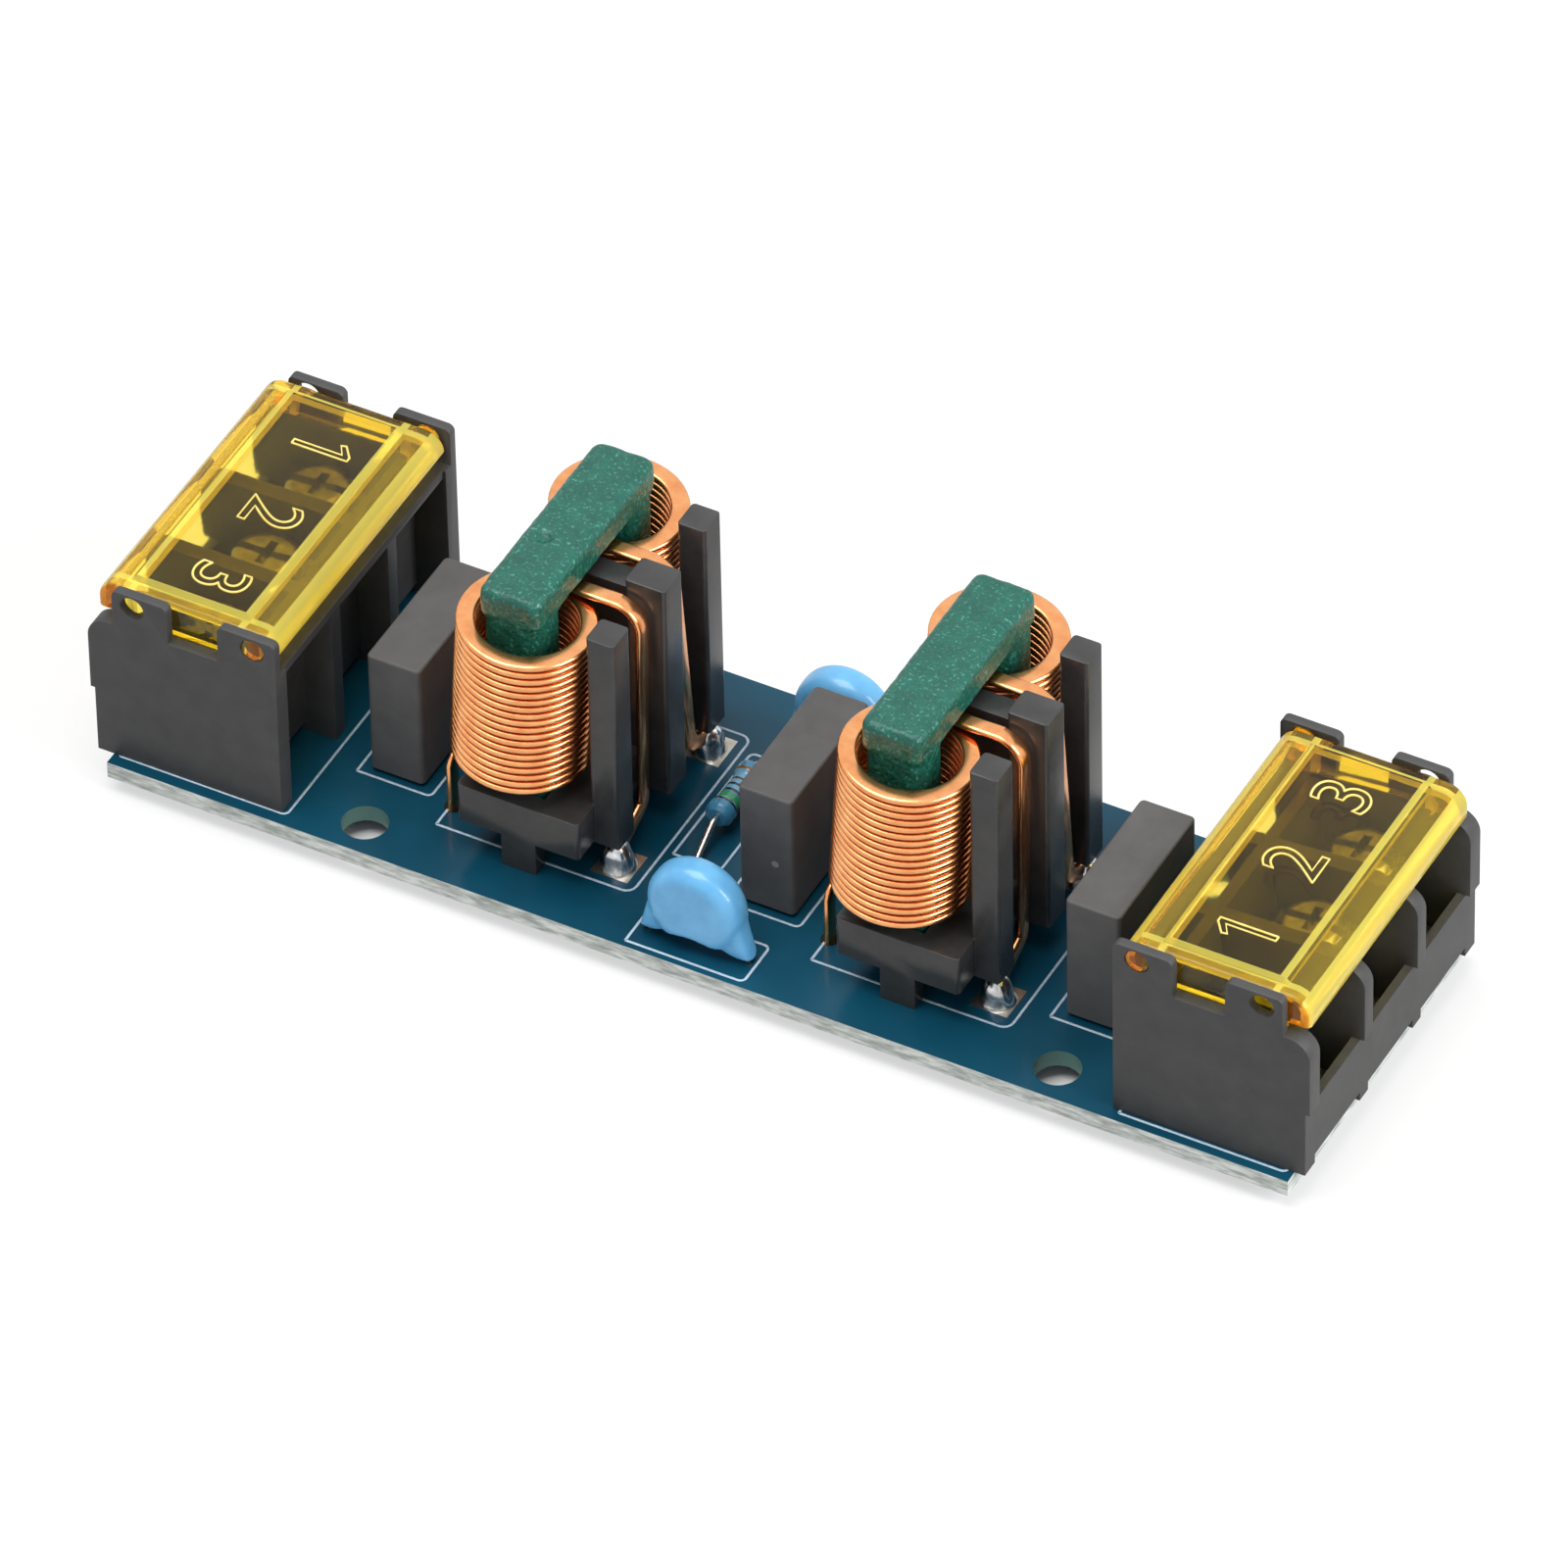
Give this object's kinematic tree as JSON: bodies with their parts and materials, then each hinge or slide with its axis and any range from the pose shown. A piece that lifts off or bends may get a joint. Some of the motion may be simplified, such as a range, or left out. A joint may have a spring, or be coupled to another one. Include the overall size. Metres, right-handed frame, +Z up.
{
  "type": "mains line filter board",
  "caption": "Mains line filter on a blue printed board: two chokes with standing copper coils, capacitors and covered screw terminal blocks at both ends.",
  "frame": {"origin": "middle of the board in plan, at the ends of the trimmed leads below it", "axes": "+X along the board towards the right-hand terminal block, +Y across the board towards the back, +Z up from the board towards the parts"},
  "size_m": [0.1122, 0.033, 0.0311],
  "materials": {
    "board_blue": "solder lacquer on glass-fibre board",
    "solder": "bright solder",
    "tinned_wire": "tinned",
    "tinned_plate": "tin plated",
    "washer_plated": "zinc plated",
    "screw_plated": "nickel plated",
    "housing_grey": "fine satin moulding",
    "base_grey": "fine satin moulding",
    "case_grey": "satin moulding",
    "cover_amber": "clear amber moulding",
    "core_green": "pebbled green coating on ferrite",
    "copper_enamelled": "bright enamelled copper",
    "disc_blue": "dipped lacquer",
    "resistor_blue": "lacquered"
  },
  "bodies": {
    "base": {"circuit_board": "board_blue", "solder_joints": "solder", "resistor_body": "resistor_blue", "resistor_leads": "tinned_wire", "terminal_housing_left": "housing_grey", "contact_plate_left_1": "tinned_plate", "contact_plate_left_2": "tinned_plate", "contact_plate_left_3": "tinned_plate", "terminal_housing_right": "housing_grey", "contact_plate_right_1": "tinned_plate", "contact_plate_right_2": "tinned_plate", "contact_plate_right_3": "tinned_plate", "choke_core_left": "core_green", "choke_base_left": "base_grey", "choke_coil_left_front": "copper_enamelled", "choke_coil_left_rear": "copper_enamelled", "choke_core_right": "core_green", "choke_base_right": "base_grey", "choke_coil_right_front": "copper_enamelled", "choke_coil_right_rear": "copper_enamelled", "film_capacitor_1": "case_grey", "film_capacitor_leads_1": "tinned_wire", "film_capacitor_2": "case_grey", "film_capacitor_leads_2": "tinned_wire", "film_capacitor_3": "case_grey", "film_capacitor_leads_3": "tinned_wire", "disc_capacitor_1": "disc_blue", "disc_capacitor_leads_1": "tinned_wire", "disc_capacitor_2": "disc_blue", "disc_capacitor_leads_2": "tinned_wire"},
    "cover_left": {"terminal_cover_left": "cover_amber"},
    "washer_left_1": {"clamp_washer_left_1": "washer_plated"},
    "screw_left_1": {"terminal_screw_left_1": "screw_plated"},
    "washer_left_2": {"clamp_washer_left_2": "washer_plated"},
    "screw_left_2": {"terminal_screw_left_2": "screw_plated"},
    "washer_left_3": {"clamp_washer_left_3": "washer_plated"},
    "screw_left_3": {"terminal_screw_left_3": "screw_plated"},
    "cover_right": {"terminal_cover_right": "cover_amber"},
    "washer_right_1": {"clamp_washer_right_1": "washer_plated"},
    "screw_right_1": {"terminal_screw_right_1": "screw_plated"},
    "washer_right_2": {"clamp_washer_right_2": "washer_plated"},
    "screw_right_2": {"terminal_screw_right_2": "screw_plated"},
    "washer_right_3": {"clamp_washer_right_3": "washer_plated"},
    "screw_right_3": {"terminal_screw_right_3": "screw_plated"}
  },
  "joints": [
    {"name": "cover_left_hinge", "type": "hinge", "parent": "base", "child": "cover_left", "pos_m": [-0.0408, 0, 0.0202], "axis": [0, 1, 0], "range_deg": [0, 100]},
    {"name": "clamp_left_1_lift", "type": "slide", "parent": "base", "child": "washer_left_1", "axis": [0, 0, 1], "range_m": [0, 0.0024]},
    {"name": "screw_left_1_turn", "type": "hinge", "parent": "washer_left_1", "child": "screw_left_1", "pos_m": [-0.04845, 0.0095, 0.0125], "axis": [0, 0, 1], "range_deg": [0, 1730]},
    {"name": "clamp_left_2_lift", "type": "slide", "parent": "base", "child": "washer_left_2", "axis": [0, 0, 1], "range_m": [0, 0.0024]},
    {"name": "screw_left_2_turn", "type": "hinge", "parent": "washer_left_2", "child": "screw_left_2", "pos_m": [-0.04845, 0, 0.0125], "axis": [0, 0, 1], "range_deg": [0, 1730]},
    {"name": "clamp_left_3_lift", "type": "slide", "parent": "base", "child": "washer_left_3", "axis": [0, 0, 1], "range_m": [0, 0.0024]},
    {"name": "screw_left_3_turn", "type": "hinge", "parent": "washer_left_3", "child": "screw_left_3", "pos_m": [-0.04845, -0.0095, 0.0125], "axis": [0, 0, 1], "range_deg": [0, 1730]},
    {"name": "cover_right_hinge", "type": "hinge", "parent": "base", "child": "cover_right", "pos_m": [0.04025, 0, 0.0202], "axis": [0, -1, 0], "range_deg": [0, 100]},
    {"name": "clamp_right_1_lift", "type": "slide", "parent": "base", "child": "washer_right_1", "axis": [0, 0, 1], "range_m": [0, 0.0024]},
    {"name": "screw_right_1_turn", "type": "hinge", "parent": "washer_right_1", "child": "screw_right_1", "pos_m": [0.0479, -0.0095, 0.0125], "axis": [0, 0, 1], "range_deg": [0, 1730]},
    {"name": "clamp_right_2_lift", "type": "slide", "parent": "base", "child": "washer_right_2", "axis": [0, 0, 1], "range_m": [0, 0.0024]},
    {"name": "screw_right_2_turn", "type": "hinge", "parent": "washer_right_2", "child": "screw_right_2", "pos_m": [0.0479, 0, 0.0125], "axis": [0, 0, 1], "range_deg": [0, 1730]},
    {"name": "clamp_right_3_lift", "type": "slide", "parent": "base", "child": "washer_right_3", "axis": [0, 0, 1], "range_m": [0, 0.0024]},
    {"name": "screw_right_3_turn", "type": "hinge", "parent": "washer_right_3", "child": "screw_right_3", "pos_m": [0.0479, 0.0095, 0.0125], "axis": [0, 0, 1], "range_deg": [0, 1730]}
  ],
  "couplings": [
    {"joint": "screw_left_1_turn", "follows": "clamp_left_1_lift", "rad_per_m": 12566},
    {"joint": "screw_left_2_turn", "follows": "clamp_left_2_lift", "rad_per_m": 12566},
    {"joint": "screw_left_3_turn", "follows": "clamp_left_3_lift", "rad_per_m": 12566},
    {"joint": "screw_right_1_turn", "follows": "clamp_right_1_lift", "rad_per_m": 12566},
    {"joint": "screw_right_2_turn", "follows": "clamp_right_2_lift", "rad_per_m": 12566},
    {"joint": "screw_right_3_turn", "follows": "clamp_right_3_lift", "rad_per_m": 12566}
  ]
}
